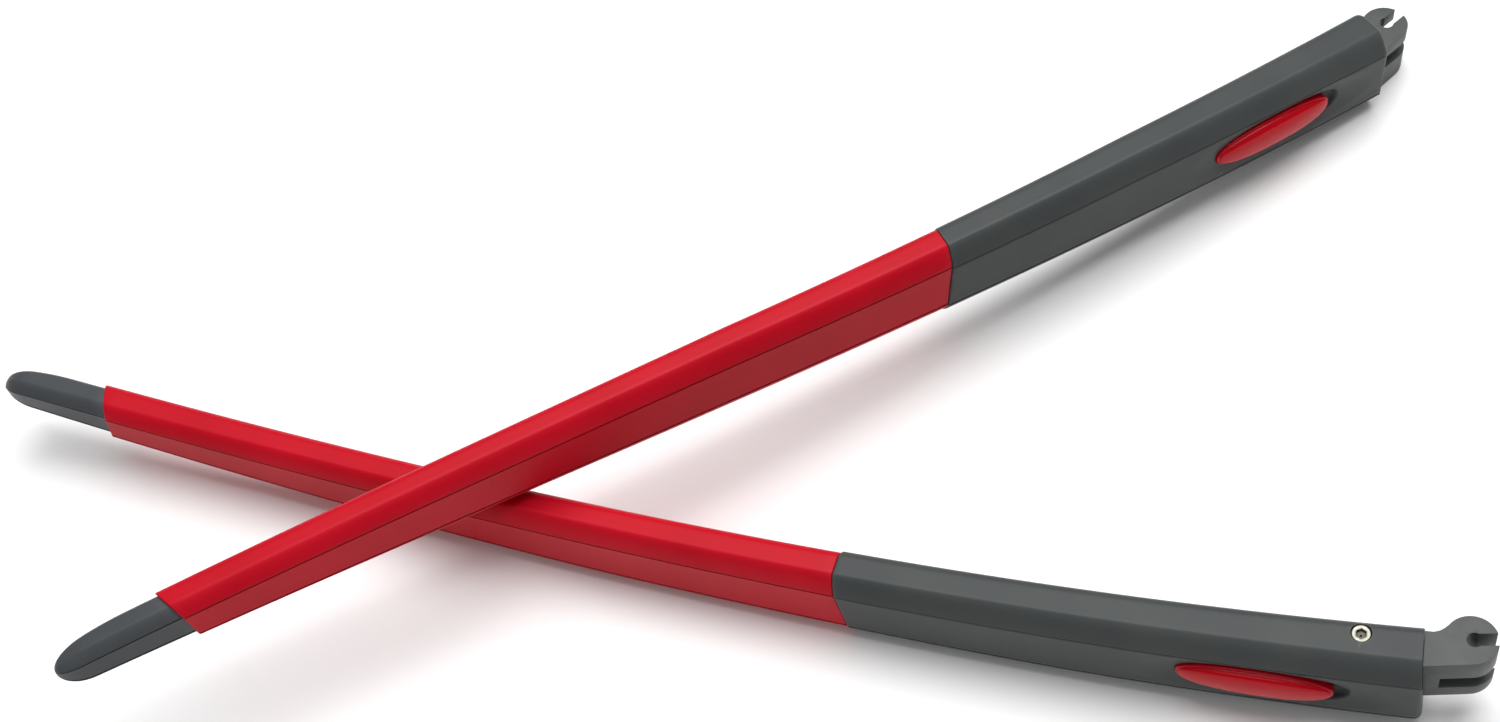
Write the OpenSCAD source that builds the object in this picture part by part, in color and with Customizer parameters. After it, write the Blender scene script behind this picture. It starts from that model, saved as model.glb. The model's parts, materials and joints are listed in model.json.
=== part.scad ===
// A crossed pair of spectacle side arms with snap-in spring hinges.
// Each arm is drawn in its own frame: X from the ear tip to the hinge, Y towards the
// wearer's head, Z up as worn, with the origin half way along the chord.
// The right arm is drawn, and the left arm is its mirror image, lying upside down.

/* [Arm outline] */
// Length of one arm along its chord, from the ear tip to the nose of the hinge fork
arm_l = 130; // [126:1:134]
// Sideways bow of the arm at either end
bow = 2.69; // [1.5:0.05:3.5]
// Extra bow at the hinge end, and as much less at the ear tip
bow_skew = 0.93; // [0:0.05:1.5]
// Drop of the arm's middle line at either end
droop = 2.05; // [1:0.05:2.5]
// Part of the drop that the hinge end is spared, and the ear tip adds
droop_skew = 0.56; // [0:0.05:1]
// Thickness half way along
mid_w = 3.3; // [3.1:0.05:3.5]
// Height half way along
mid_h = 8.1; // [7.8:0.1:8.4]
// Height of the straight stretch of the top edge above the chord
rest_z = 3.95; // [3.9:0.05:4.05]

/* [Section] */
// Radius of the two edges on the side of the head
edge_r = 1.0; // [0.8:0.05:1.1]
// Part of the thickness that the outer shoulders take in the grip
shoulder_back = 0.34; // [0.25:0.01:0.4]
// Part of the thickness that the outer shoulders take beside the hinge
shoulder_front = 0.36; // [0.25:0.01:0.4]
// Part of the half height that the flat outer band takes in the grip
band_back = 0.6; // [0.5:0.01:0.7]
// Part of the half height that the flat outer band takes beside the hinge
band_front = 0.62; // [0.55:0.01:0.75]

/* [Grip and housing] */
// Wall of the soft grip sleeve
grip_wall = 0.72; // [0.6:0.02:0.8]
// Where the grip begins, near the ear tip
grip_back_x = -54.25; // [-56:0.1:-52]
// Where the grip ends against the housing
grip_front_x = 14.5; // [12:0.1:16]
// How far the ear tip lies below the grip's surface
tip_step = 0.3; // [0.1:0.05:0.4]
// How far the housing stands above the grip's surface
housing_step = 0.1; // [0.05:0.01:0.15]
// Where the housing's end face lies, at the middle height of the fork
face_x = 59.35; // [59:0.05:60]
// Lean of the end face, forwards at the top
face_lean = 4; // [0:0.5:8]

/* [Hinge] */
// Radius of the fork's round nose
fork_r = 2.0; // [1.8:0.05:2.2]
// Height of the fork along the hinge pin
fork_h = 5.0; // [4.8:0.1:5.2]
// Gap between the fork's two leaves
fork_gap = 1.5; // [1.3:0.1:1.7]
// Radius of the pin that snaps into the fork
pin_r = 0.6; // [0.55:0.05:0.65]
// Width of the mouth that the pin snaps through
mouth_w = 1.0; // [0.9:0.05:1.05]
// Travel of the sprung fork out of the housing
travel = 1.8; // [1:0.1:2]
// Outer radius of the coil spring
spring_r = 1.0; // [0.9:0.05:1.03]
// Number of turns of the coil spring
spring_turns = 7; // [5:1:8]

/* [Oval insert] */
// Length of the oval insert
oval_l = 12; // [10:0.5:13]
// Height of the oval insert
oval_h = 3.5; // [3:0.1:4]
// How far the insert's dome stands out of the housing
oval_dome = 0.8; // [0.5:0.05:1]

/* [Pose of the pair] */
// Angle between each arm and the middle line of the pair, seen from above
cross_half = 22.25; // [20:0.25:24]
// Slope of the upper arm, down towards its hinge
upper_pitch = 4.15; // [4.1:0.05:4.2]

/* [Hidden] */
$fn = 48;
gap = 0.05;          // clearance round each inner piece
eps = 0.01;
half_l = arm_l / 2;
tip_in = 7;          // length over which the ear tip rounds off: side of the head,
tip_out = 2.5;       // outer side,
tip_up = 3;          // top edge
tip_down = 3;        // and bottom edge
back_lean = -10;     // lean of the grip's rear seam
back_turn = 22;      // turn of that seam, towards the tip on the side of the head
front_lean = 6.5;    // lean of the grip's front seam
soft = 1.35;         // the shoulders run softly into the narrow faces, where 1 is round
crisp = 1.9;         // and meet the outer band at an edge, where 2 is straight

// Hinge frame: its origin is on the fork's middle height in the end face
hinge_y = 3.2;
hinge_z = -2.7;
hinge_turn = 6.15;
neck_w = 2.9;        // width of the fork where it leaves the end face
fork_x = 3.25;       // nose centre, in front of the end face
fork_y = 1.3;
pin_x = 0.2;         // pin centre, in front of the nose centre
mouth_turn = 9;      // the mouth points this far towards the head
slot_x = 1.25;       // closed end of the gap between the leaves
leaf_low = 2.25;     // thickness of the lower leaf as worn
shank_w = 2.3;
shank_h = 3.7;
shank_l = 3.2;
block_front = -3.4;
block_l = 2.6;
bore_r = 1.1;
bore_end = -14.4;
rod_r = 0.5;
spring_back = block_front - block_l - travel - 4.2;
wire_r = 0.15;
nut_l = 1.3;
lock_x = -4.7;       // retaining screw
lock_y = 0.75;
lock_r = 0.4;
lock_head_r = 0.75;
lock_head_l = 0.4;
core_r = 0.45;       // stiffening wire in the stem
core_back = -58;
core_front = 24;
tongue_end = 28;     // the stem's tongue inside the housing
oval_x = 47.4;
pocket_depth = 0.5;
peg_r = 0.4;
peg_x = 3.2;
turn_at_oval = 4;

// Where the pair lies: the frame's origin is under the middle of both arms
lower_at = [-4.715, -11.962, rest_z];
upper_at = [6.595, 3.928, 9.95];

// Outline of an arm, as functions of x
function part_of(x) = 2 * x / arm_l;
function cubic(x, even, odd) = even * part_of(x) ^ 2 + odd * part_of(x) ^ 3;
function side(x) = cubic(x, bow, bow_skew);
function middle(x) = cubic(x, -droop, droop_skew);
function width(x) = mid_w + 0.65 * part_of(x) + 0.6 * part_of(x) ^ 2;
function tall(x) = mid_h + 2 * part_of(x) - 1.9 * part_of(x) ^ 2;
function top_z(x, inset) = min(middle(x) + tall(x) / 2 - inset, rest_z - max(0, inset));
function low_z(x, inset) = middle(x) - tall(x) / 2 + inset;
function mid_z(x, inset = 0) = (top_z(x, inset) + low_z(x, inset)) / 2;
function ramp(x) = min(1, max(0, (x - 10) / 40));
function blend(x, back, front) = back + (front - back) * ramp(x);

// The ear tip shrinks to a round end, by its own length on each side
function tip_scale(x, length) =
    x > length - half_l ? 1 : sqrt(max(0.02, 1 - ((length - half_l - x) / length) ^ 2));
function tip_shrink(x, offset, mark, plus, minus) =
    mark + (offset - mark) * tip_scale(x, offset > mark ? plus : minus);

// One ring of the section, inset from the surface
function arc(cy, cz, ry, rz, from, step, count, across, up) = [
    for (i = [0:count])
        let (a = from + i * step, c = cos(a), s = sin(a))
        [cy + ry * sign(c) * abs(c) ^ across, cz + rz * sign(s) * abs(s) ^ up]
];
function section(w, h, r, c, b) = concat(
    arc(w / 2 - r, r - h / 2, r, r, -90, 30, 3, 1, 1),
    arc(w / 2 - r, h / 2 - r, r, r, 0, 30, 3, 1, 1),
    arc(c - w / 2, b, c, h / 2 - b, 90, 22.5, 4, soft, crisp),
    arc(c - w / 2, -b, c, h / 2 - b, 180, 22.5, 4, soft, crisp)
);
function ring(x, inset) =
    let (
        w = width(x) - 2 * inset,
        h = top_z(x, inset) - low_z(x, inset),
        r = max(0.12, edge_r - max(0, inset)),
        c = max(0.1, width(x) * blend(x, shoulder_back, shoulder_front) - 0.4 * inset),
        b = (h / 2) * blend(x, band_back, band_front)
    )
    [
        for (p = section(w, h, r, c, b))
            [
                x,
                side(x) + tip_shrink(x, p.x, -0.1 * width(x), tip_in, tip_out),
                mid_z(x, inset) + tip_shrink(x, p.y, 0.1 * tall(x), tip_up, tip_down)
            ]
    ];

// A closed solid through rings of points
module skin(rings) {
    n = len(rings[0]);
    last = len(rings) - 1;
    walls = [
        for (i = [0:last - 1], j = [0:n - 1])
            let (k = (j + 1) % n)
            each [
                [i * n + j, (i + 1) * n + j, i * n + k],
                [i * n + k, (i + 1) * n + j, (i + 1) * n + k]
            ]
    ];
    back = [for (j = [0:n - 1]) j];
    front = [for (j = [n - 1:-1:0]) last * n + j];
    polyhedron([for (r = rings) each r], concat(walls, [back, front]), convexity = 8);
}

module arm_solid(from, to, steps, inset) {
    skin([for (i = [0:steps]) ring(from + (to - from) * i / steps, inset)]);
}

// Everything behind a leaning plane through x
module behind(x, lean, turn = 0) {
    translate([x, 0, 0]) rotate([0, lean, turn]) translate([-200, -50, -50])
        cube([200, 100, 100]);
}

// A wire that follows the arm's middle line
module middle_wire(from, to, r) {
    steps = 14;
    skin([
        for (i = [0:steps])
            let (x = from + (to - from) * i / steps)
            [for (a = [0:45:315]) [x, side(x) + r * cos(a), mid_z(x) + r * sin(a)]]
    ]);
}

module hinge_frame() {
    translate([face_x, hinge_y, hinge_z]) rotate([0, 0, hinge_turn]) children();
}

module rod(from, to, r) {
    translate([from, 0, 0]) rotate([0, 90, 0]) cylinder(h = to - from, r = r);
}

module oval_frame() {
    translate([oval_x, side(oval_x) - width(oval_x) / 2, mid_z(oval_x)])
        rotate([0, 0, turn_at_oval]) rotate([90, 0, 0]) children();
}

// A pointed oval: round behind, drawn out to the front
function oval_edge(l, h, point) = [
    for (a = [0:10:350])
        [l / 2 * cos(a) + (cos(a) > 0 ? point * cos(a) ^ 3 : 0), h / 2 * sin(a)]
];

// The stem: bare ear tip, core under the grip and tongue in the housing
module stem() {
    tip_steps = 6;
    difference() {
        union() {
            intersection() {
                skin(concat(
                    [for (i = [0:tip_steps]) ring(-half_l + tip_in * (1 - cos(15 * i)), tip_step)],
                    [ring(-50, tip_step)]
                ));
                behind(grip_back_x - gap, back_lean, back_turn);
            }
            arm_solid(-58, tongue_end, 16, grip_wall + gap);
        }
        middle_wire(core_back - gap, core_front + gap, core_r + gap);
    }
}

module core_wire() {
    middle_wire(core_back, core_front, core_r);
}

module grip_sleeve() {
    difference() {
        intersection() {
            arm_solid(-58, 20, 14, 0);
            behind(grip_front_x, front_lean);
        }
        behind(grip_back_x, back_lean, back_turn);
        arm_solid(-60, 22, 14, grip_wall);
    }
}

// Everything inside the housing that the hinge needs
module hinge_cavity() {
    room_w = shank_w + 2 * gap;
    room_h = shank_h + 2 * gap;
    room_l = -block_front + block_l + gap;
    translate([-room_l, -room_w / 2, -room_h / 2]) cube([room_l + 4, room_w, room_h]);
    rod(bore_end, -room_l + 1, bore_r);
    translate([lock_x, lock_y, -6]) cylinder(h = 5, r = lock_r + gap);
    translate([lock_x, lock_y, -6]) cylinder(h = 6 - lock_seat(), r = lock_head_r + gap);
}
function lock_seat() = shank_h / 2 + 0.35;

module front_housing() {
    difference() {
        intersection() {
            arm_solid(10, 62, 13, -housing_step);
            hinge_frame() behind(0, face_lean);
        }
        behind(grip_front_x + gap, front_lean);
        arm_solid(8, tongue_end + 0.2, 4, grip_wall);
        hinge_frame() hinge_cavity();
        oval_frame() translate([0.25, 0, -pocket_depth])
            linear_extrude(2) polygon(oval_edge(oval_l + 0.7, oval_h + 0.5, 0.7));
        oval_frame() for (s = [-1, 1])
            translate([s * peg_x, 0, -pocket_depth - 0.35]) cylinder(h = 1, r = peg_r + gap);
    }
}

// The domed oval that sits in the housing's outer pocket on two pegs
module oval_insert() {
    levels = 4;
    floor_z = gap - pocket_depth;
    oval_frame() {
        skin(concat(
            [[for (p = oval_edge(oval_l, oval_h, 0)) [p.x, p.y, floor_z]]],
            [
                for (i = [0:levels])
                    let (k = cos(i * 20), z = oval_dome * sin(i * 20) / sin(80))
                    [for (p = oval_edge(oval_l, oval_h, 0)) [p.x * k, p.y * k, z]]
            ]
        ));
        for (s = [-1, 1])
            translate([s * peg_x, 0, floor_z - 0.3]) cylinder(h = 0.6, r = peg_r);
    }
}

// The outline of the fork seen along its pin
module fork_outline() {
    difference() {
        union() {
            translate([fork_x, fork_y]) circle(fork_r);
            polygon([
                [-2, -neck_w / 2 + 0.15],
                [0, -neck_w / 2 + 0.15],
                [fork_x + 0.32, fork_y - fork_r + 0.02],
                [fork_x, fork_y + 1],
                [1.65, 2.48],
                [1.3, 2.08],
                [0.95, 1.8],
                [0.5, 1.63],
                [-2, neck_w / 2 + 0.15]
            ]);
        }
        translate([fork_x, fork_y]) rotate(mouth_turn) {
            translate([pin_x, 0]) circle(pin_r);
            translate([pin_x, -mouth_w / 2]) square([fork_r + 1, mouth_w]);
        }
    }
}

// Sprung fork: two leaves that snap over the frame's hinge pin, a neck and a shank
module hinge_fork() {
    hinge_frame() difference() {
        union() {
            difference() {
                translate([0, 0, -fork_h / 2]) linear_extrude(fork_h) fork_outline();
                translate([slot_x, -5, leaf_low - fork_h / 2]) cube([12, 12, fork_gap]);
                translate([gap, 0, 0]) rotate([0, face_lean, 0])
                    translate([-20, -10, -20]) cube([20, 20, 40]);
            }
            translate([-shank_l, -shank_w / 2, -shank_h / 2])
                cube([shank_l + 0.7, shank_w, shank_h]);
        }
        rod(-shank_l - 1, -0.6, rod_r);
    }
}

// Long screw that holds the spring against the block, its thread in the fork's shank
module spring_screw() {
    head_r = spring_r - 0.05;
    hinge_frame() difference() {
        union() {
            rod(spring_back - nut_l, -0.6 - gap, rod_r);
            rod(spring_back - nut_l, spring_back, head_r);
        }
        translate([spring_back - nut_l - 1, -0.15, -2]) cube([1.5, 0.3, 4]);
    }
}

module hinge_spring() {
    span = block_front - block_l - spring_back - 2 * wire_r - 2 * gap;
    mean_r = spring_r - wire_r;
    points_per_turn = 12;
    steps = spring_turns * points_per_turn;
    hinge_frame() translate([spring_back + wire_r + gap, 0, 0])
        skin([
            for (i = [0:steps])
                let (a = 360 * i / points_per_turn, x = span * i / steps)
                [
                    for (b = [0:60:300])
                        let (r = mean_r + wire_r * cos(b))
                        [x + wire_r * sin(b), r * sin(a), r * cos(a)]
                ]
        ]);
}

// Metal block that guides the spring screw and is pinned by the retaining screw
module guide_block() {
    hinge_frame() difference() {
        translate([block_front - block_l, -shank_w / 2, -shank_h / 2])
            cube([block_l, shank_w, shank_h]);
        rod(block_front - block_l - 1, block_front + 1, rod_r + gap);
        translate([lock_x, lock_y, -shank_h / 2 - 1]) cylinder(h = 1.9, r = lock_r + gap);
    }
}

module retaining_screw() {
    hinge_frame() difference() {
        union() {
            translate([lock_x, lock_y, -lock_seat()]) cylinder(h = 1.2, r = lock_r);
            translate([lock_x, lock_y, -lock_seat() - lock_head_l])
                cylinder(h = lock_head_l, r = lock_head_r);
        }
        translate([lock_x, lock_y, -lock_seat() - lock_head_l - eps])
            cylinder(h = 0.35, r = 0.4, $fn = 6);
    }
}

// The left arm lies upside down on its straight top edge
module left() {
    translate(lower_at) rotate([0, 0, -cross_half]) mirror([0, 0, 1]) children();
}

// The right arm lies across it, hinge end down
module right() {
    translate(upper_at) rotate([0, upper_pitch, cross_half]) children();
}

module left_stem() { color("dimgray") left() stem(); }
module left_core_wire() { color("silver") left() core_wire(); }
module left_grip_sleeve() { color("crimson") left() grip_sleeve(); }
module left_front_housing() { color("dimgray") left() front_housing(); }
module left_oval_insert() { color("firebrick") left() oval_insert(); }
module left_hinge_fork() { color("gray") left() hinge_fork(); }
module left_spring_screw() { color("silver") left() spring_screw(); }
module left_hinge_spring() { color("silver") left() hinge_spring(); }
module left_guide_block() { color("goldenrod") left() guide_block(); }
module left_retaining_screw() { color("silver") left() retaining_screw(); }
module right_stem() { color("dimgray") right() stem(); }
module right_core_wire() { color("silver") right() core_wire(); }
module right_grip_sleeve() { color("crimson") right() grip_sleeve(); }
module right_front_housing() { color("dimgray") right() front_housing(); }
module right_oval_insert() { color("firebrick") right() oval_insert(); }
module right_hinge_fork() { color("gray") right() hinge_fork(); }
module right_spring_screw() { color("silver") right() spring_screw(); }
module right_hinge_spring() { color("silver") right() hinge_spring(); }
module right_guide_block() { color("goldenrod") right() guide_block(); }
module right_retaining_screw() { color("silver") right() retaining_screw(); }

left_stem();
left_core_wire();
left_grip_sleeve();
left_front_housing();
left_oval_insert();
left_hinge_fork();
left_spring_screw();
left_hinge_spring();
left_guide_block();
left_retaining_screw();
right_stem();
right_core_wire();
right_grip_sleeve();
right_front_housing();
right_oval_insert();
right_hinge_fork();
right_spring_screw();
right_hinge_spring();
right_guide_block();
right_retaining_screw();
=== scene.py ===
# %% [markdown]
# # A crossed pair of spectacle side arms
# Two side arms of sports spectacles lie crossed on a pale table. Each has a dark ear tip, a red
# soft grip, a grey front housing with a domed oval inset, and a small sprung fork that snaps
# over the frame's hinge pin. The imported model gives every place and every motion. This script
# makes the finished surfaces round it.

# %% Load the frame
import json
import math

import bmesh
import bpy
import numpy as np
from mathutils import Matrix, Quaternion, Vector


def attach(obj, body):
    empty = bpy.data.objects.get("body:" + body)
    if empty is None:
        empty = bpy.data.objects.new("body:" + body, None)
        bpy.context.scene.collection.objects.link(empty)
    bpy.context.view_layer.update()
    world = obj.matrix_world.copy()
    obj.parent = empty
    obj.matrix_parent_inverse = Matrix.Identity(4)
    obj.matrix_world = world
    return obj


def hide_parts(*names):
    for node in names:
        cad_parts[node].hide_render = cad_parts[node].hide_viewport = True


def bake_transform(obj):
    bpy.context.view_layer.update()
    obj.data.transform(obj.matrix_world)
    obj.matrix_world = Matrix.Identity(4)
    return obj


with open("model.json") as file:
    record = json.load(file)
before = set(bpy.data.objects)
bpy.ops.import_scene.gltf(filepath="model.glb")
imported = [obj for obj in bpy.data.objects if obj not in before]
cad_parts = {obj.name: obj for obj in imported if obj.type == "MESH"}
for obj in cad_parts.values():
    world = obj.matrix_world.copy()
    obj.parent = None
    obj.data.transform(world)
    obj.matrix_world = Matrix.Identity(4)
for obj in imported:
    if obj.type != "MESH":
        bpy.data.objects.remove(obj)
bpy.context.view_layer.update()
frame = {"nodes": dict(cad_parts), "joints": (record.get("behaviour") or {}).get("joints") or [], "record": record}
MM = 0.001

# %% [markdown]
# ## The outline of an arm
# An arm is a slim bar that bows sideways round the head and droops at both ends. Its outline is
# a rule, so it is written as a few short formulas in x, which runs from the ear tip to the hinge.
# The same formulas serve plain numbers and Geometry Nodes fields, so each is written once.

# %% Driving sizes of the arm
SIZES = {
    "Length": 130 * MM, "Bow": 2.69 * MM, "Bow skew": 0.93 * MM,
    "Droop": 2.05 * MM, "Droop skew": 0.56 * MM,
    "Thickness": 3.3 * MM, "Height": 8.1 * MM, "Rest height": 3.95 * MM,
    "Edge radius": 1.0 * MM,
}
THICKNESS_GAIN, THICKNESS_FLARE = 0.65 * MM, 0.60 * MM
HEIGHT_GAIN, HEIGHT_FALL = 2.0 * MM, 1.9 * MM
SHOULDER = (0.34, 0.36)      # part of the thickness that the outer shoulders take, back and front
BAND = (0.60, 0.62)          # part of the half height that the flat outer band takes
ROUND = (1, 1)               # powers of a corner's curve, across and up: 1 is round, 2 straight
SOFT_AND_CRISP = (1.35, 1.9)     # soft at the narrow faces and crisp at the outer band
TIP_IN, TIP_OUT = 7 * MM, 2.5 * MM    # over which the ear tip rounds off on either side,
TIP_UP, TIP_DOWN = 3 * MM, 3 * MM     # and at the top and bottom edges
TIP_MARK = (-0.1, 0.1)       # where the tip ends, as parts of the thickness and the height
LEAST_TIP = 0.0004           # keeps the square root of the tip's rounding above nothing
LEAST_EDGE, LEAST_SHOULDER = 0.12 * MM, 0.1 * MM
HALF = SIZES["Length"] / 2


# %% A number that Geometry Nodes works out
class Field:
    """A value in a node tree. Sums and products of fields add Math nodes to the tree."""

    def __init__(self, tree, socket):
        self.tree, self.socket = tree, socket

    def math(self, operation, other=None, swap=False):
        node = self.tree.nodes.new("ShaderNodeMath")
        node.operation = operation
        values = [self] if other is None else [other, self] if swap else [self, other]
        for i, value in enumerate(values):
            if isinstance(value, Field):
                self.tree.links.new(value.socket, node.inputs[i])
            else:
                node.inputs[i].default_value = value
        return Field(self.tree, node.outputs[0])

    def __add__(self, other): return self.math("ADD", other)
    def __radd__(self, other): return self.math("ADD", other)
    def __sub__(self, other): return self.math("SUBTRACT", other)
    def __rsub__(self, other): return self.math("SUBTRACT", other, swap=True)
    def __mul__(self, other): return self.math("MULTIPLY", other)
    def __rmul__(self, other): return self.math("MULTIPLY", other)
    def __truediv__(self, other): return self.math("DIVIDE", other)


def least(a, b):
    return a.math("MINIMUM", b) if isinstance(a, Field) else np.minimum(a, b)


def most(a, b):
    return a.math("MAXIMUM", b) if isinstance(a, Field) else np.maximum(a, b)


def root(a):
    return a.math("SQRT") if isinstance(a, Field) else np.sqrt(a)


# %% The outline's formulas
def cubic(x, size, even, odd):
    part = x * 2 / size["Length"]
    return part * part * even + part * part * part * odd


def side(x, size=SIZES):
    return cubic(x, size, size["Bow"], size["Bow skew"])


def middle(x, size=SIZES):
    return cubic(x, size, size["Droop"] * -1, size["Droop skew"])


def thickness(x, size=SIZES):
    part = x * 2 / size["Length"]
    return part * THICKNESS_GAIN + part * part * THICKNESS_FLARE + size["Thickness"]


def height(x, size=SIZES):
    part = x * 2 / size["Length"]
    return part * HEIGHT_GAIN - part * part * HEIGHT_FALL + size["Height"]


def top(x, inset, size=SIZES):
    flat = size["Rest height"] - most(inset, 0)
    return least(middle(x, size) + height(x, size) / 2 - inset, flat)


def bottom(x, inset, size=SIZES):
    return middle(x, size) - height(x, size) / 2 + inset


def centre(x, inset=0.0, size=SIZES):
    return (top(x, inset, size) + bottom(x, inset, size)) / 2


def along(x, back_and_front):
    back, front = back_and_front
    return least(most((x - 10 * MM) / (40 * MM), 0), 1) * (front - back) + back


print("half way along, an arm is %.2f by %.2f mm" % (thickness(0) / MM, height(0) / MM))

# %% [markdown]
# ## One ring of the section
# Across the arm the section is a bar with two small round edges on the side of the head and two
# broad shoulders outside, with a flat band between them. Each point of a ring keeps the
# corner that it belongs to and its place on that corner's curve, so one formula places it
# anywhere along the arm. A fine groove runs along both edges of the outer band.


# %% A template of the ring
GROOVE = 0.07 * MM
GROOVE_ROWS = ((0.03, 0), (0.10, 1), (0.18, 1), (0.25, 0))    # mm from the edge, part of the depth
BAND_SPAN = 0.86             # part of the outer band's height between the grooves


def ring_template(corner_steps=10, flat_rows=3, band_rows=8):
    """Across, up, inner, upper, drop and sink of each point, anticlockwise from the front."""
    rows = []

    def corner(start, inner, upper, power):
        for i in range(corner_steps + 1):
            a = math.radians(start + 90 * i / corner_steps)
            c, s = round(math.cos(a), 9), round(math.sin(a), 9)
            across = math.copysign(abs(c) ** power[0], c)
            up = math.copysign(abs(s) ** power[1], s)
            rows.append((across, up, inner, upper, 0, 0))

    def flat(count, across, up, inner, upper):
        for i in range(1, count + 1):
            f = i / (count + 1)
            rows.append((across, up, inner[0] + (inner[1] - inner[0]) * f,
                         upper[0] + (upper[1] - upper[0]) * f, 0, 0))

    corner(-90, 1, -1, ROUND)
    flat(flat_rows, 1, 0, (1, 1), (-1, 1))
    corner(0, 1, 1, ROUND)
    flat(flat_rows, 0, 1, (1, 0), (1, 1))
    corner(90, 0, 1, SOFT_AND_CRISP)
    for drop, sink in GROOVE_ROWS:
        rows.append((-1, 0, 0, 1, drop * MM, sink * GROOVE))
    flat(band_rows, -1, 0, (0, 0), (BAND_SPAN, -BAND_SPAN))
    for drop, sink in reversed(GROOVE_ROWS):
        rows.append((-1, 0, 0, -1, drop * MM, sink * GROOVE))
    corner(180, 0, -1, SOFT_AND_CRISP)
    flat(flat_rows, 0, -1, (0, 1), (-1, -1))
    keys = ("across", "up", "inner", "upper", "drop", "sink")
    return dict(zip(keys, np.array(rows, float).T))


def shrunk(x, offset, mark, plus, minus):
    """Draws an offset in towards a mark where the ear tip rounds off."""
    for length, part in ((plus, most(offset - mark, 0)), (minus, least(offset - mark, 0))):
        gone = most((length - HALF - x) / length, 0)
        mark = part * root(most(1 - gone * gone, LEAST_TIP)) + mark
    return mark


def section_point(x, p, size=SIZES):
    """y and z of a point of the section at x, from its template values p and its inset."""
    inset = p["inset"]
    broad = thickness(x, size) - inset * 2
    tall = top(x, inset, size) - bottom(x, inset, size)
    edge = most(size["Edge radius"] - most(inset, 0), LEAST_EDGE)
    shoulder = most(thickness(x, size) * along(x, SHOULDER) - inset * 0.4, LEAST_SHOULDER)
    band = tall / 2 * along(x, BAND)
    round_y = edge * p["inner"] + shoulder * (1 - p["inner"])
    round_z = edge * p["inner"] + (tall / 2 - band) * (1 - p["inner"])
    y = (p["inner"] * 2 - 1) * (broad / 2 - round_y) + round_y * p["across"] + p["sink"]
    z = p["upper"] * (tall / 2 - round_z) + round_z * p["up"] - p["upper"] * p["drop"]
    y = shrunk(x, y, thickness(x, size) * TIP_MARK[0], TIP_IN, TIP_OUT)
    z = shrunk(x, z, height(x, size) * TIP_MARK[1], TIP_UP, TIP_DOWN)
    return side(x, size) + y, centre(x, inset, size) + z


def leaned_point(x, p, size=SIZES):
    """The same on a plane that leans forward with height and turns back towards the head."""
    y, z = section_point(x, p, size)
    x = x + z * p["lean"] - y * p["turn"]
    y, z = section_point(x, p, size)
    return x, y, z


# %% Rows of rings into a mesh
def quads(rows, count, closed):
    """Faces between rings of count points. A closed stack joins its last ring to its first."""
    faces = []
    for i in range(rows if closed else rows - 1):
        low, high = i * count, (i + 1) % rows * count
        for j in range(count):
            k = (j + 1) % count
            faces.append((low + j, low + k, high + k, high + j))
    return faces


def store_groove_shade(mesh, values):
    """Stores how deep in a groove or recess each point lies, as the mask of the painted shade."""
    mesh.attributes.new("groove_shade", "FLOAT", "POINT").data.foreach_set("value", values)


def mesh_of_rings(name, rings):
    """A closed mesh through rings, capped by a pole at either end."""
    count = len(rings[0])
    points = np.concatenate(rings)
    faces = quads(len(rings), count, closed=False)
    first, last = len(points), len(points) + 1
    points = np.vstack([points, rings[0].mean(0), rings[-1].mean(0)])
    top_ring = (len(rings) - 1) * count
    for j in range(count):
        k = (j + 1) % count
        faces += [(first, k, j), (last, top_ring + j, top_ring + k)]
    mesh = bpy.data.meshes.new(name)
    mesh.from_pydata(points.tolist(), [], faces)
    mesh.update()
    return mesh


def tangents(plane):
    """Lean and turn of a plane, given in degrees, as slopes."""
    return [math.tan(math.radians(angle)) for angle in plane]


def ring_at(template, x, inset, plane=(0, 0)):
    lean, turn = tangents(plane)
    p = {**template, "inset": inset, "lean": lean, "turn": turn}
    return np.stack(leaned_point(x + 0 * template["up"], p), axis=1)


def between(start, end, f):
    return tuple(a + (b - a) * f for a, b in zip(start, end))


def rounded_end(x, inset, radius, forward, steps=4):
    """x and inset of rings that round an edge, from the outside to the end face."""
    rows = []
    for i in range(steps + 1):
        a = math.radians(90 * i / steps)
        rows.append((x + forward * radius * (math.sin(a) - 1), inset + radius * (1 - math.cos(a))))
    return rows


# %% [markdown]
# ## Where each arm lies
# The frame already holds the two arms' places: the fork's slide gives the direction of the hinge
# end, and the pin notch gives a point and the direction of the pin. The left arm is the mirror
# image of the right one and lies upside down, so its matrix also mirrors, and its faces are
# turned round again afterwards.

# %% Place a mesh on its arm
HINGE_TURN = 6.15            # the fork points this far towards the head
HINGE_AT = Vector((59.35 * MM, 3.2 * MM, -2.7 * MM))
FACE = (4, HINGE_TURN)       # lean and turn of the housing's end face
NOSE = Vector((3.25 * MM, 1.3 * MM, 0))
PIN_FORWARD, MOUTH_TURN = 0.2 * MM, 9
SIDES = ("left", "right")

mouth = Matrix.Rotation(math.radians(MOUTH_TURN), 3, "Z") @ Vector((PIN_FORWARD, 0, 0))
hinge_to_arm = Matrix.Translation(HINGE_AT) @ Matrix.Rotation(math.radians(HINGE_TURN), 4, "Z")
pin_in_hinge = NOSE + mouth


def hinge_to_row(arm):
    """Matrix from the hinge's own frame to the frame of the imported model."""
    slide = next(j for j in frame["joints"] if j["name"] == arm + "_fork_slide")
    notch = next(m for m in frame["record"]["mounts"] if m["name"] == arm + "_pin_notch")
    out, pin = Vector(slide["axis"]).normalized(), Vector(notch["axis"]).normalized()
    turn = Matrix((out, pin.cross(out), pin if arm == "right" else -pin)).transposed()
    place = Vector(notch["pos_m"]) - turn @ pin_in_hinge
    return Matrix.Translation(place) @ turn.to_4x4()


HINGE = {arm: hinge_to_row(arm) for arm in SIDES}
ARM = {arm: HINGE[arm] @ hinge_to_arm.inverted() for arm in SIDES}
for arm in SIDES:
    print(arm, "arm's middle is at", [round(v / MM, 2) for v in ARM[arm].translation])


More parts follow.
